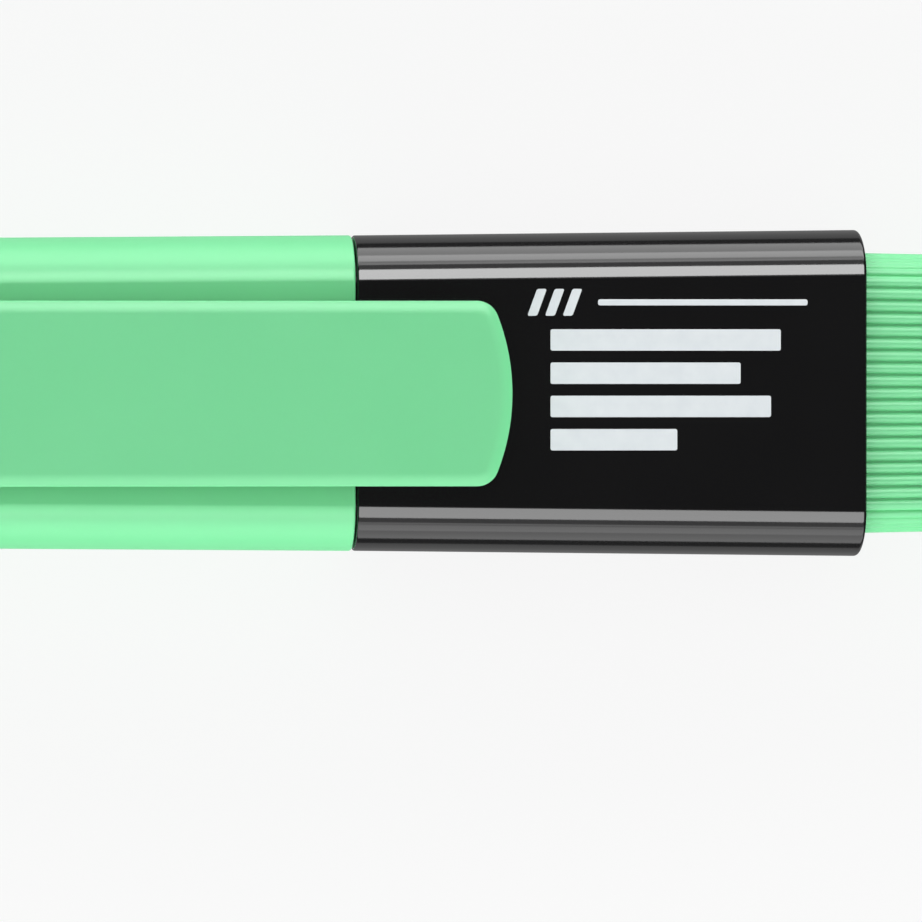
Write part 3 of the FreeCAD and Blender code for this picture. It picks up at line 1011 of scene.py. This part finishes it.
@dataclass
class RearPlug:
    """Hollow end plug: spigot in the barrel's mouth, lengthwise ribs, smooth rounded end.

    Attributes:
        layout: the pen's places and sections.
        rear_bore: the barrel's bore that holds the spigot.
        fit: clearance of the spigot in the bore.
        mouth_gap: each side, between the rib crests and the barrel's mouth.
        mouth_depth: where the ribs start, inside the mouth.
        side: sideways depth of the ribbed section's ends.
        taper: width and thickness lost over the ribs' length.
        rib_count: ribs all round.
        rib_height: from a groove to a crest.
        groove: width of a groove's flat floor.
        rib_steps: straight pieces across one rib.
        rib_merge: ends of neighbouring ribs nearer than this are one point.
        dome: length of the smooth end.
        dome_round: radius of the end's edge.
        dome_lip: how far the smooth end stands over the crests.
        wall: the plug's wall.
    """

    layout: Layout
    rear_bore: Oval
    fit: float = 0.03 * MM
    mouth_gap: float = 0.28 * MM
    mouth_depth: float = 0.8 * MM
    side: float = 2.85 * MM
    taper: float = 1.2 * MM
    rib_count: int = 64
    rib_height: float = 0.34 * MM
    groove: float = 0.12 * MM
    rib_steps: int = 8
    rib_merge: float = 0.02 * MM
    dome: float = 2.2 * MM
    dome_round: float = 1.1 * MM
    dome_lip: float = 0.05 * MM
    wall: float = 1.5 * MM

    def path(self, root: Oval, x: float) -> tuple[bpy.types.Object, float, float]:
        """The line that the ribs' feet follow round the plug.

        Args:
            root: the outline through the grooves.
            x: its place along the pen.

        Returns:
            The closed curve, its length, and the way along it from its start to the mid-line on top.
        """
        obj = Ring("rib_path", x, root, self.layout.axis_z, points=4 * RING_POINTS + 2).obj
        bpy.ops.object.convert(target="CURVE")
        points = [p.co.xyz for p in obj.data.splines[0].points]
        travel = 0.0
        to_top = 0.0
        for here, there in zip(points, points[1:] + points[:1]):
            step = (there - here).length
            if here.z > self.layout.axis_z and here.y * there.y < 0:
                to_top = travel + step * here.y / (here.y - there.y)
            travel += step
        return obj, travel, to_top

    def rib_ring(self, x: float, root: Oval) -> bpy.types.Object:
        """A closed ring of ribs: one rib's arc, repeated and wrapped round the plug.

        Args:
            x: its place along the pen.
            root: the outline through the grooves.

        Returns:
            The ring as loose edges.
        """
        path, length, to_top = self.path(root, x)
        pitch = length / self.rib_count
        half = (pitch - self.groove) / 2
        radius = (half ** 2 + self.rib_height ** 2) / (2 * self.rib_height)
        start = (to_top - pitch / 2) % pitch
        rib = Outline("rear_plug_ribbed", (start, 0, 0))
        rib.run(self.groove / 2, 0)
        centre = (start + pitch / 2, 0, self.rib_height - radius)
        rib.turn(centre, 2 * math.asin(half / radius), Axis.Y, self.rib_steps)
        rib.run(self.groove / 2, 0)
        ribs = rib.done()
        repeat = ribs.modifiers.new("Ribs", "ARRAY")
        repeat.count = self.rib_count
        repeat.use_relative_offset = False
        repeat.use_constant_offset = True
        repeat.constant_offset_displace = (pitch, 0, 0)
        wrap = ribs.modifiers.new("Wrap", "CURVE")
        wrap.object = path
        wrap.deform_axis = "POS_X"
        focus(ribs)
        bpy.ops.object.modifier_apply(modifier=repeat.name)
        bpy.ops.object.modifier_apply(modifier=wrap.name)
        bpy.data.objects.remove(path)
        return ribs

    def ribbed_body(self, x_start: float, x_end: float, crest: Oval) -> bpy.types.Object:
        """The ribs as a closed solid that narrows evenly towards the rear.

        Args:
            x_start: where the ribs start.
            x_end: where they end.
            crest: the outline over the crests at the start.

        Returns:
            The solid.
        """
        axis_z = self.layout.axis_z
        body = self.rib_ring(x_start, crest.grown(-self.rib_height))
        share = (x_end - x_start) / (self.layout.plug_end - x_start)
        narrow = 1 - self.taper * share / crest.width
        lower = 1 - self.taper * share / crest.thickness
        with editing(body):
            bpy.ops.mesh.select_all(action="SELECT")
            bpy.ops.mesh.remove_doubles(threshold=self.rib_merge)
            bpy.ops.mesh.edge_face_add()
            grow_faces((x_end - x_start, 0, 0))
            bpy.ops.transform.resize(value=(1, narrow, lower), center_override=(x_end, 0, axis_z))
        seal(body)
        return body

    def build(self, finish: Finish) -> bpy.types.Object:
        """Model and dress the plug.

        Args:
            finish: its finish.

        Returns:
            The plug.
        """
        at = self.layout
        spigot_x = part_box("rear_plug")[0].x
        start = at.rear - self.mouth_depth
        ribs_end = at.plug_end - self.dome
        crest = replace(self.rear_bore.grown(-self.mouth_gap), side=self.side)
        end = Oval(crest.width - self.taper, crest.thickness - self.taper, crest.side)
        share = (ribs_end - start) / (at.plug_end - start)
        lip = crest.towards(end, share).grown(self.dome_lip)
        plug = self.ribbed_body(start - self.mouth_depth, ribs_end + self.rib_height / 2, crest)
        spigot = self.rear_bore.grown(-self.fit)
        spigot_ends = [(spigot_x, spigot), (start, spigot)]
        combine(plug, shell("spigot", spigot_ends, at.axis_z, False), Combine.JOIN)
        dome = [(ribs_end - self.rib_height, lip.grown(-self.rib_height)), (ribs_end, lip)]
        dome += reversed(rounded_end(at.plug_end, end, self.dome_round, -1))
        combine(plug, shell("dome", dome, at.axis_z, False), Combine.JOIN)
        hollow_end = end.grown(-self.rib_height - self.wall)
        hollow = [(spigot_x - self.wall, spigot.grown(-self.wall)), (at.plug_end - self.wall, hollow_end)]
        combine(plug, shell("hollow", hollow, at.axis_z, False), Combine.CUT)
        seal(plug)
        settle(plug, "barrel", finish.make())
        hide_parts("rear_plug")
        return plug


@dataclass
class NibHolder:
    """Black front section: flange, neck, shoulder, sealing collar and the cone that grips the nib.

    Attributes:
        layout: the pen's places and sections.
        flange_step: how far the flange stands out from the neck, each side.
        seat: the neck's length inside the barrel.
        neck_length: in front of the barrel.
        neck_round: radius of the neck's front edge.
        shoulder_length: from the neck to the collar.
        shoulder_inset: from the neck's sides to the shoulder's.
        shoulder_side: sideways depth of the shoulder's rounded sides.
        shoulder_steps: rings from the shoulder's oval to its round end.
        collar_radius: the sealing collar's radius.
        collar_length: along the pen.
        shoulder_step: from the shoulder's end down to the collar.
        collar_step: from the collar down to the cone.
        tip_radius: the cone's radius at its front face.
        cavity_inset: the neck's wall round the reservoir.
        cavity_side: sideways depth of the reservoir space's rounded sides.
        cavity_depth: the reservoir's space in front of the barrel.
        slot: the opening that grips the nib.
        groove_radius: radius of the air grooves beside the nib.
        groove_points: points round a groove.
        snap_radius: radius of the snap bars on the flats.
        snap_height: how far they stand out.
        snap_length: across the pen.
        snap_setback: from the barrel to the bars.
    """

    layout: Layout
    flange_step: float = 0.25 * MM
    seat: float = 6.0 * MM
    neck_length: float = 10.0 * MM
    neck_round: float = 0.4 * MM
    shoulder_length: float = 5.0 * MM
    shoulder_inset: float = 1.6 * MM
    shoulder_side: float = 4.0 * MM
    shoulder_steps: int = 6
    collar_radius: float = 6.0 * MM
    collar_length: float = 3.0 * MM
    shoulder_step: float = 0.3 * MM
    collar_step: float = 0.5 * MM
    tip_radius: float = 4.2 * MM
    cavity_inset: float = 2.0 * MM
    cavity_side: float = 3.2 * MM
    cavity_depth: float = 6.0 * MM
    slot: Oval = field(default_factory=lambda: Oval(5.26 * MM, 3.66 * MM, 0.93 * MM))
    groove_radius: float = 0.45 * MM
    groove_points: int = 24
    snap_radius: float = 0.8 * MM
    snap_height: float = 0.12 * MM
    snap_length: float = 8.0 * MM
    snap_setback: float = 3.5 * MM

    def stations(self) -> list[Station]:
        """The holder's skin, from the reservoir cavity's mouth round the outside to the nib slot."""
        at = self.layout
        neck = at.neck
        flange = neck.grown(self.flange_step)
        cavity = replace(neck.grown(-self.cavity_inset), side=self.cavity_side)
        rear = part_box("front_section")[1].x
        step = at.front + self.seat
        face = at.front - self.neck_length
        collar_rear = face - self.shoulder_length
        collar_front = collar_rear - self.collar_length
        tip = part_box("front_section")[0].x
        bottom = at.front - self.cavity_depth
        soft = self.neck_round / 2
        stop = Oval.disc(self.collar_radius + self.shoulder_step)
        shoulder = Oval(neck.width - 2 * self.shoulder_inset, stop.thickness, self.shoulder_side)
        collar = Oval.disc(self.collar_radius)
        cone_root = Oval.disc(self.collar_radius - self.collar_step)
        skin = [(rear, cavity), (rear, flange.grown(-soft)), (rear - soft, flange)]
        skin += [(step, flange), (step, neck)]
        skin += reversed(rounded_end(face, neck, self.neck_round, 1))
        skin += [(face, shoulder)]
        for n in range(1, self.shoulder_steps + 1):
            x = face - self.shoulder_length * n / self.shoulder_steps
            skin.append((x, shoulder.towards(stop, n / self.shoulder_steps)))
        skin += [(collar_rear, collar), (collar_front + soft, collar), (collar_front, collar.grown(-soft))]
        skin += [(collar_front, cone_root)]
        skin += reversed(rounded_end(tip, Oval.disc(self.tip_radius), self.neck_round, 1))
        skin += [(tip, self.slot.grown(soft)), (tip + soft, self.slot)]
        skin += [(bottom, self.slot), (bottom, cavity)]
        skin.append(skin[0])
        return skin

    def build(self, finish: Finish) -> bpy.types.Object:
        """Model and dress the holder.

        Args:
            finish: its finish.

        Returns:
            The holder.
        """
        at = self.layout
        holder = shell("nib_holder", self.stations(), at.axis_z, closed=True)
        snap_x = at.front - self.snap_setback
        snap_z = at.neck.thickness / 2 + self.snap_height - self.snap_radius
        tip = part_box("front_section")[0].x
        depth = at.front - self.cavity_depth - tip
        for way in (1, -1):
            place = (snap_x, 0, at.axis_z + way * snap_z)
            snap = bar("snap", Axis.Y, self.snap_radius, self.snap_length, place)
            combine(holder, snap, Combine.JOIN)
            place = (tip, way * (self.slot.width / 2), at.axis_z)
            groove = bar("groove", Axis.X, self.groove_radius, depth, place, self.groove_points)
            combine(holder, groove, Combine.CUT)
        settle(holder, "barrel", finish.make())
        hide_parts("front_section")
        return holder


@dataclass
class ChiselNib:
    """Felt nib with a slanted writing edge.

    Attributes:
        layout: the pen's places and sections.
        section: the nib's outline.
        slant: how far the writing edge leans from square, in radians.
        bevel: bevel above and below the writing edge.
        wear: softening of the cut edges.
        wear_steps: strips across a softened edge.
    """

    layout: Layout
    section: Oval = field(default_factory=lambda: Oval(5.2 * MM, 3.6 * MM, 0.9 * MM))
    slant: float = math.radians(35)
    bevel: float = 0.5 * MM
    wear: float = 0.09 * MM
    wear_steps: int = 2

    def build(self, finish: Finish) -> bpy.types.Object:
        """Model and dress the nib.

        Args:
            finish: its finish.

        Returns:
            The nib.
        """
        low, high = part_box("nib")
        axis_z = self.layout.axis_z
        nib = shell("chisel_nib", [(low.x, self.section), (high.x, self.section)], axis_z, closed=False)
        ahead = Vector((-math.cos(self.slant), math.sin(self.slant), 0))
        corner = Vector((low.x, -self.section.width / 2, axis_z))
        cuts = [(corner, ahead)]
        for way in (1, -1):
            edge = corner + Vector((0, 0, way * (self.section.thickness / 2 - self.bevel)))
            cuts.append((edge, (ahead + Vector((0, 0, way))).normalized()))
        with editing(nib):
            for place, facing in cuts:
                slice_at(place, facing, remove=True)
        soften = nib.modifiers.new("Wear", "BEVEL")
        soften.width = self.wear
        soften.segments = self.wear_steps
        soften.angle_limit = SMOOTH_ANGLE
        focus(nib)
        bpy.ops.object.modifier_apply(modifier=soften.name)
        settle(nib, "barrel", finish.make())
        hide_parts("nib")
        return nib


@dataclass
class Cap:
    """Cap shell with its ring, stop ribs and vents, and the thimble that seals the nib.

    Attributes:
        layout: the pen's places and sections.
        wall: the cap's wall.
        end_wall: thickness of the closed end.
        taper: width lost from the rim to the closed end.
        end_round: radius of the closed end's edge.
        rim_round: radius of the rim's outer edge.
        lead_in: bevel at the rim's inner edge.
        ring_wall: wall of the ring that holds the thimble.
        ring_length: along the pen.
        rib_width: width of a stop rib.
        rib_height: height of a stop rib.
        rib_inset: from the neck's side to a stop rib's middle.
        rib_start: from the rim to the stop ribs' front ends.
        vent_width: width of a vent.
        vent_height: height of a vent.
        vent_margin: from the ring to a vent.
        thimble_wall: the thimble's wall.
        thimble_fit: clearance of the thimble in its ring.
        web_place: from the thimble's mouth to the web that closes it.
        web: the web's thickness.
    """

    layout: Layout
    wall: float = 1.5 * MM
    end_wall: float = 1.8 * MM
    taper: float = 0.65 * MM
    end_round: float = 1.6 * MM
    rim_round: float = 0.2 * MM
    lead_in: float = 0.12 * MM
    ring_wall: float = 1.2 * MM
    ring_length: float = 8.0 * MM
    rib_width: float = 0.8 * MM
    rib_height: float = 2.0 * MM
    rib_inset: float = 2.1 * MM
    rib_start: float = 10.15 * MM
    vent_width: float = 1.6 * MM
    vent_height: float = 5.0 * MM
    vent_margin: float = 0.8 * MM
    thimble_wall: float = 0.75 * MM
    thimble_fit: float = 0.03 * MM
    web_place: float = 18.7 * MM
    web: float = 1.0 * MM

    @property
    def end_section(self) -> Oval:
        """The outside outline at the closed end."""
        rim = self.layout.rim_section
        return replace(rim, width=rim.width - self.taper)

    def stations(self) -> list[Station]:
        """The cap's skin, from the closed end round the rim to the floor inside."""
        at = self.layout
        length = at.rim - at.cap_end
        shoulder = self.end_section.towards(at.rim_section, self.end_round / length)
        bore = at.rim_section.grown(-self.wall)
        floor = self.end_section.grown(-self.wall)
        skin = rounded_end(at.cap_end, shoulder, self.end_round, 1)
        skin += reversed(rounded_end(at.rim, at.rim_section, self.rim_round, -1))
        skin += [(at.rim, bore.grown(self.lead_in)), (at.rim - self.lead_in, bore)]
        skin.append((at.cap_end + self.end_wall, floor))
        return skin

    def fit_inside(self, cap: bpy.types.Object, ring_radius: float) -> None:
        """Join the ring and the stop ribs to the cap, and cut its vents.

        Args:
            cap: the cap shell.
            ring_radius: the ring's outer radius.
        """
        at = self.layout
        floor = at.cap_end + self.end_wall
        sunk = floor - self.rim_round
        front = floor + self.ring_length
        hole = Oval.disc(ring_radius - self.ring_wall)
        tube = Oval.disc(ring_radius)
        wall = [(sunk, hole), (sunk, tube), (front, tube), (front, hole), (sunk, hole)]
        combine(cap, shell("ring", wall, at.axis_z, closed=True), Combine.JOIN)
        half = at.rim_section.thickness / 2 - self.wall
        y = at.neck.width / 2 - self.rib_inset
        for side in (1, -1):
            for up in (1, -1):
                ends = sorted((up * (half - self.rib_height), up * (half + self.wall / 3)))
                low = (sunk, side * y - self.rib_width / 2, at.axis_z + ends[0])
                high = (at.rim - self.rib_start, side * y + self.rib_width / 2, at.axis_z + ends[1])
                combine(cap, block("stop_rib", low, high, self.rim_round), Combine.JOIN)
            middle = side * (ring_radius + self.vent_margin + self.vent_width / 2)
            low = (at.cap_end - self.wall, middle - self.vent_width / 2, at.axis_z - self.vent_height / 2)
            high = (floor + self.wall, middle + self.vent_width / 2, at.axis_z + self.vent_height / 2)
            combine(cap, block("vent", low, high, self.vent_width / 3), Combine.CUT)

    def thimble(self, finish: Finish) -> bpy.types.Object:
        """Model and dress the inner cap.

        Args:
            finish: its finish.

        Returns:
            The inner cap.
        """
        low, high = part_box("inner_cap")
        outside = Oval.disc((high.y - low.y) / 2)
        bore = outside.grown(-self.thimble_wall)
        mouth = outside.grown(-self.thimble_wall / 2)
        web_x = high.x - self.web_place
        rear = low.x
        soft = self.thimble_wall / 4
        skin = [(web_x, bore), (high.x - self.thimble_wall, bore), (high.x, mouth)]
        skin += [(high.x, outside.grown(-soft)), (high.x - soft, outside)]
        skin += [(rear + soft, outside), (rear, outside.grown(-soft)), (rear, bore)]
        skin.append((web_x - self.web, bore))
        thimble = shell("inner_cap_thimble", skin, self.layout.axis_z, closed=False)
        settle(thimble, "cap", finish.make())
        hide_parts("inner_cap")
        return thimble

    def build(self, finish: Finish) -> bpy.types.Object:
        """Model and dress the cap shell.

        Args:
            finish: its finish.

        Returns:
            The cap shell.
        """
        low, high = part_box("inner_cap")
        ring_radius = (high.y - low.y) / 2 + self.thimble_fit + self.ring_wall
        cap = shell("cap_moulding", self.stations(), self.layout.axis_z, closed=False)
        self.fit_inside(cap, ring_radius)
        settle(cap, "cap", finish.make())
        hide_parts("cap_shell")
        return cap


@dataclass
class Clip:
    """Broad springy clip in one moulding with its foot on the cap.

    Attributes:
        layout: the pen's places and sections.
        tip_radius: the end's arc in plan.
        tip_steps: straight pieces in that arc.
        corner_radius: where the end arc meets the long edges.
        edge_round: radius of the upper edges.
        edge_steps: rings in them.
        crown_round: radius of the gentle slope inside the upper edges.
        crown_steps: rings in it.
        crown_lean: how steep that slope starts, in radians.
        under_round: radius of the lower edges.
        under_steps: rings in them.
        gap: from the cap's flat up to the blade.
        foot_sunk: how far the foot is sunk in the cap's flat.
        bead_radius: radius of the grip bead under the tip.
        bead_length: across the pen.
        bead_setback: from the tip.
        bead_clearance: above the barrel's flat.
        bend_length: how far from the foot the blade bends.
        bend_steps: pieces that the bend is cut into.
    """

    layout: Layout
    tip_radius: float = 17.5 * MM
    tip_steps: int = 40
    corner_radius: float = 1.8 * MM
    edge_round: float = 0.22 * MM
    edge_steps: int = 4
    crown_round: float = 1.9 * MM
    crown_steps: int = 8
    crown_lean: float = math.radians(32)
    under_round: float = 0.3 * MM
    under_steps: int = 3
    gap: float = 1.2 * MM
    foot_sunk: float = 0.02 * MM
    bead_radius: float = 1.6 * MM
    bead_length: float = 10.5 * MM
    bead_setback: float = 3.2 * MM
    bead_clearance: float = 0.3 * MM
    bend_length: float = 14.0 * MM
    bend_steps: int = 14

    def blade(self, rear: float, tip: float, half: float, z: float, top: float) -> bpy.types.Object:
        """The blade with rounded edges, from the foot's rear to the tip.

        Args:
            rear: its rear edge.
            tip: its tip.
            half: half its width.
            z: the height of its underside.
            top: the height of its top.

        Returns:
            The blade.
        """
        arc_x = tip - self.tip_radius
        corner_y = half - self.corner_radius
        corner_x = arc_x + math.sqrt((self.tip_radius - self.corner_radius) ** 2 - corner_y ** 2)
        lean = math.atan2(corner_y, corner_x - arc_x)
        start = z + self.under_round
        level = math.cos(self.crown_lean)
        slope = self.edge_round * level + self.crown_round * (1 - level)
        rise = top - start - slope
        turn = math.pi / 2 - lean
        outline = Outline("clip_moulding", (rear, -half, start))
        outline.run(corner_x - rear, 0)
        outline.turn((corner_x, -corner_y, start), turn)
        outline.turn((arc_x, 0, start), 2 * lean, steps=self.tip_steps)
        outline.turn((corner_x, corner_y, start), turn)
        outline.run(rear - corner_x, 0)
        outline.run(0, -2 * half)
        outline.fill()
        grow_faces((0, 0, rise))
        round_over(self.edge_round, self.edge_steps, head=self.crown_lean)
        round_over(self.crown_round, self.crown_steps, foot=self.crown_lean)
        pick(outline.obj, "faces", lambda f: f.normal.z < -SQUARE_ON)
        round_over(self.under_round, self.under_steps)
        return outline.done()

    def foot(self, rear: float, flex: float, half: float, top: float) -> bpy.types.Object:
        """The solid foot that joins the blade to the cap.

        Args:
            rear: its rear face.
            flex: its front face, where the blade starts to bend.
            half: half its width.
            top: its height, inside the blade.

        Returns:
            The foot.
        """
        low = (rear, -half, self.layout.top_z - self.foot_sunk)
        return block("foot", low, (flex, half, top), self.under_round / 3)

    def bead(self, tip: float, under: float) -> bpy.types.Object:
        """The grip bead under the tip.

        Args:
            tip: the clip's tip.
            under: the height of the blade's underside.

        Returns:
            The bead, with a flat top inside the blade.
        """
        z = self.layout.top_z + self.bead_clearance + self.bead_radius
        bead = bar("bead", Axis.Y, self.bead_radius, self.bead_length, (tip - self.bead_setback, 0, z))
        with editing(bead):
            slice_at((0, 0, under + self.under_round), Axis.Z.value, remove=True)
        return bead

    def build(self, finish: Finish) -> bpy.types.Object:
        """Model and dress the clip, and cut it across where it bends.

        Args:
            finish: its finish.

        Returns:
            The clip.
        """
        root_low, root_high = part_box("clip_root")
        _, blade_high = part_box("clip_blade")
        flex = root_high.x
        half = (root_high.y - root_low.y) / 2
        under = root_low.z + self.gap
        clip = self.blade(root_low.x, blade_high.x, half, under, root_high.z)
        inside = half - self.foot_sunk
        foot = self.foot(root_low.x + self.foot_sunk, flex, inside, under + self.under_round)
        combine(clip, foot, Combine.JOIN)
        combine(clip, self.bead(blade_high.x, under), Combine.JOIN)
        bend_end = flex + self.bend_length
        with editing(clip):
            for step in range(self.bend_steps + 1):
                x = flex + (bend_end - flex) * step / self.bend_steps
                slice_at((x + self.foot_sunk, 0, 0), Axis.X.value)
        smooth(clip)
        clip.data.materials.append(finish.make())
        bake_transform(clip)
        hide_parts("clip_root", "clip_blade")
        return clip


@dataclass
class InkReservoir:
    """Fibre rod and film inside the barrel: the frame's own solids, dressed."""

    def build(self, rod: Finish, film: Finish) -> None:
        """Dress both solids.

        Args:
            rod: finish of the fibre rod.
            film: finish of the film round it.
        """
        for node, finish in (("reservoir_core", rod), ("reservoir_film", film)):
            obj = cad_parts[node]
            material = finish.make()
            if not obj.material_slots:
                obj.data.materials.append(material)
            for slot in obj.material_slots:
                slot.material = material


# ------------------------------------------------------------------------------------------ studio
class Purpose(Enum):
    """What a light is for. The value names the rays that miss it."""

    FILL = "visible_glossy"
    GLEAM = "visible_diffuse"


@dataclass
class Softbox:
    """A large soft light beside the pen.

    Attributes:
        name: the light's name.
        purpose: whether it lights matt surfaces or shows in glossy ones.
        nearest: its edge nearest to overhead, from straight up towards +Y, in degrees.
        furthest: its other edge, in degrees.
        strength: its brightness.
        distance: from the pen.
        length: its longer side.
        bearing: turned about the vertical from +Y, in degrees.
    """

    name: str
    purpose: Purpose
    nearest: float
    furthest: float
    strength: float
    distance: float = 0.8
    length: float = 1.0
    bearing: float = 0.0

    def build(self, target: Vector) -> bpy.types.Object:
        """Add the light, facing the pen.

        Args:
            target: where it points.

        Returns:
            The light.
        """
        lean = math.radians(self.nearest + self.furthest) / 2
        spread = math.radians(abs(self.furthest - self.nearest))
        height = 2 * self.distance * math.tan(spread / 2)
        data = bpy.data.lights.new(self.name, "AREA")
        data.shape = "RECTANGLE"
        data.size = self.length
        data.size_y = height
        data.energy = self.strength * math.pi * self.length * height
        light = bpy.data.objects.new(self.name, data)
        bpy.context.scene.collection.objects.link(light)
        light.rotation_euler = (-lean, 0, math.radians(self.bearing))
        light.location = target + light.rotation_euler.to_matrix() @ Vector((0, 0, self.distance))
        light.visible_camera = False
        setattr(light, self.purpose.value, False)
        return light


@dataclass
class Studio:
    """Pale table, soft lights and the camera over the pen.

    Attributes:
        layout: the pen's places and sections.
        camera_height: above the pen's axis.
        camera_from_front: the camera's place along the pen, from the barrel's front edge.
        camera_side: the camera's place across the pen.
        aim_from_front: where it looks, along the pen, from the barrel's front edge.
        aim_side: where it looks, across the pen.
        view_width: the width it sees at the pen's axis.
        sensor: the camera's sensor width, in millimetres.
        ambient: brightness of the room.
        fill_length: the longer side of the lights that fill.
        table_size: the table's side.
    """

    layout: Layout
    camera_height: float = 0.8
    camera_from_front: float = -41.1 * MM
    camera_side: float = 3.0 * MM
    aim_from_front: float = 9.0 * MM
    aim_side: float = -5.61 * MM
    view_width: float = 76.15 * MM
    sensor: float = 36.0
    ambient: float = 0.05
    fill_length: float = 1.8
    table_size: float = 8.0

    def table(self, finish: Finish) -> None:
        """Lay the table. The pen's gloss does not mirror it, so the sides stay dark at their edges.

        Args:
            finish: its finish.
        """
        plane = bpy.ops.mesh.primitive_plane_add
        table = add_primitive("table", plane, size=self.table_size, location=(0, 0, 0))
        table.data.materials.append(finish.make())
        table.visible_glossy = False
        table.visible_shadow = False

    def lights(self) -> None:
        """Hang the fill lights, the strips that gleam in the gloss, and the low cards below them."""
        target = Vector((self.layout.front, 0, self.layout.axis_z))
        length = self.fill_length
        boxes = [
            Softbox("fill_above", Purpose.FILL, -30, 30, 0.7, length=length),
            Softbox("fill_ahead", Purpose.FILL, 60, 95, 1.9, bearing=-90, length=length),
            Softbox("fill_far", Purpose.FILL, 52, 97, 3.25, length=length),
            Softbox("fill_near", Purpose.FILL, -52, -97, 3.5, length=length),
            Softbox("strip_far", Purpose.GLEAM, 18, 62, 5.0),
            Softbox("strip_near", Purpose.GLEAM, -15, -64, 2.4),
            Softbox("haze_far", Purpose.GLEAM, 9, 86, 0.3, distance=1.0),
            Softbox("haze_near", Purpose.GLEAM, -9, -86, 0.3, distance=1.0),
            Softbox("card_far", Purpose.GLEAM, 80, 131, 1.25),
            Softbox("card_far_core", Purpose.GLEAM, 92, 110, 1.2, distance=0.7),
            Softbox("card_near", Purpose.GLEAM, -82, -130, 0.7),
            Softbox("card_near_core", Purpose.GLEAM, -90, -108, 0.4, distance=0.7),
            Softbox("card_under", Purpose.GLEAM, 143, 217, 0.17),
        ]
        for box in boxes:
            box.build(target)
        world = bpy.data.worlds.new("dim_room")
        world.use_nodes = True
        sky = world.node_tree.nodes["Background"]
        sky.inputs["Color"].default_value = (1, 1, 1, 1)
        sky.inputs["Strength"].default_value = self.ambient
        bpy.context.scene.world = world

    def camera(self) -> None:
        """Set the camera above the pen."""
        at = self.layout
        height = at.axis_z + self.camera_height
        place = Vector((at.front + self.camera_from_front, self.camera_side, height))
        aim = Vector((at.front + self.aim_from_front, self.aim_side, at.axis_z))
        sight = aim - place
        data = bpy.data.cameras.new("camera")
        data.sensor_width = self.sensor
        data.lens = self.sensor * sight.length / self.view_width
        camera = bpy.data.objects.new("camera", data)
        bpy.context.scene.collection.objects.link(camera)
        camera.location = place
        camera.rotation_euler = (math.asin(sight.y / sight.length), math.atan2(-sight.x, -sight.z), 0)
        bpy.context.scene.camera = camera

    def build(self) -> None:
        """Set up the table, the lights, the camera and plain colour handling."""
        self.camera()
        self.table(PaleTable())
        self.lights()
        bpy.context.scene.view_settings.view_transform = "Standard"


def main() -> None:
    """Build the studio and every piece in order, and report each one."""
    logging.basicConfig(level=logging.INFO, format="%(name)s: %(message)s")
    layout = Layout.from_frame()
    Studio(layout).build()
    mint = MintPolypropylene()
    barrel = Barrel(layout)
    cap = Cap(layout)
    pieces = [
        barrel.build(BlackPolystyrene()),
        PrintedMotif(layout).build(PadPrintInk()),
        RearPlug(layout, barrel.rear_bore).build(replace(mint, name="mint_plug_polypropylene")),
        NibHolder(layout).build(BlackPolypropylene()),
        ChiselNib(layout).build(SoakedFelt()),
        cap.build(mint),
        cap.thimble(MilkyPolypropylene()),
        Clip(layout).build(replace(mint, name="mint_clip_polypropylene")),
    ]
    InkReservoir().build(InkRod(), ClearFilm())
    for piece in pieces:
        LOG.info("%s: %d faces", piece.name, len(piece.data.polygons))


if __name__ == "__main__":
    main()
